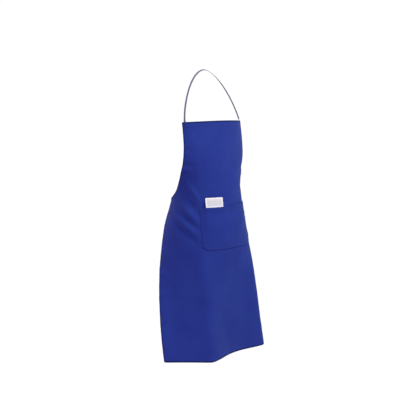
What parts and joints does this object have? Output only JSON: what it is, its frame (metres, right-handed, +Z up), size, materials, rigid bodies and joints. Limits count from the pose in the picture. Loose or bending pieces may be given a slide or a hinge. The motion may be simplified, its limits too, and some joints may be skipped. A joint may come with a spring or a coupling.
{
  "type": "welding apron",
  "caption": "Blue cloth bib apron for welding, with a neck strap, tied waist ties and a divided front pocket that holds a card.",
  "frame": {"origin": "the underside of the neck strap at the top of its loop, where the back of the neck carries it", "axes": "+X to the wearer's left, +Y towards the wearer's back, so the apron's front faces -Y, +Z up"},
  "size_m": [0.5583, 0.3239, 1.1038],
  "materials": {
    "blue_cloth": "matt royal blue cotton twill",
    "blue_thread": "dark blue sewing thread",
    "blue_tape": "royal blue woven cotton tape",
    "slate_tape": "slate blue-grey woven tape",
    "white_card": "white printed card with a pale grey field"
  },
  "bodies": {
    "strap": {"neck_strap": "slate_tape"},
    "apron": {"apron_panel": "blue_cloth", "bib_top_hem": "blue_cloth", "bib_top_hem_stitching": "blue_thread", "bottom_hem": "blue_cloth", "bottom_hem_stitching": "blue_thread", "left_armhole_hem": "blue_cloth", "left_armhole_hem_stitching": "blue_thread", "left_pocket_bartack": "blue_thread", "left_side_hem": "blue_cloth", "left_side_hem_stitching": "blue_thread", "left_strap_end": "slate_tape", "left_strap_end_stitching": "blue_thread", "left_tie_stitching": "blue_thread", "left_waist_tie": "blue_tape", "middle_pocket_bartack": "blue_thread", "pocket_divider_stitching": "blue_thread", "pocket_front": "blue_cloth", "pocket_hem_stitching": "blue_thread", "pocket_seam_stitching": "blue_thread", "pocket_top_hem": "blue_cloth", "right_armhole_hem": "blue_cloth", "right_armhole_hem_stitching": "blue_thread", "right_pocket_bartack": "blue_thread", "right_side_hem": "blue_cloth", "right_side_hem_stitching": "blue_thread", "right_strap_end": "slate_tape", "right_strap_end_stitching": "blue_thread", "right_tie_stitching": "blue_thread", "right_waist_tie": "blue_tape", "waist_knot": "blue_tape"},
    "card": {"pocket_card": "white_card"},
    "right_tail": {"right_tie_tail": "blue_tape"},
    "left_tail": {"left_tie_tail": "blue_tape"}
  },
  "joints": [
    {"name": "apron_hang", "type": "hinge", "parent": "strap", "child": "apron", "pos_m": [0, -0.049, -0.1962], "axis": [-1, 0, 0], "range_deg": [0, 100]},
    {"name": "card_slide", "type": "slide", "parent": "apron", "child": "card", "axis": [0, 0.1219, 0.9925], "range_m": [0, 0.12]},
    {"name": "right_tail_swing", "type": "hinge", "parent": "apron", "child": "right_tail", "pos_m": [-0.00744, 0.10516, -0.5468], "axis": [1, 0, 0], "range_deg": [0, 80]},
    {"name": "left_tail_swing", "type": "hinge", "parent": "apron", "child": "left_tail", "pos_m": [0.00744, 0.10516, -0.5468], "axis": [1, 0, 0], "range_deg": [0, 80]}
  ]
}
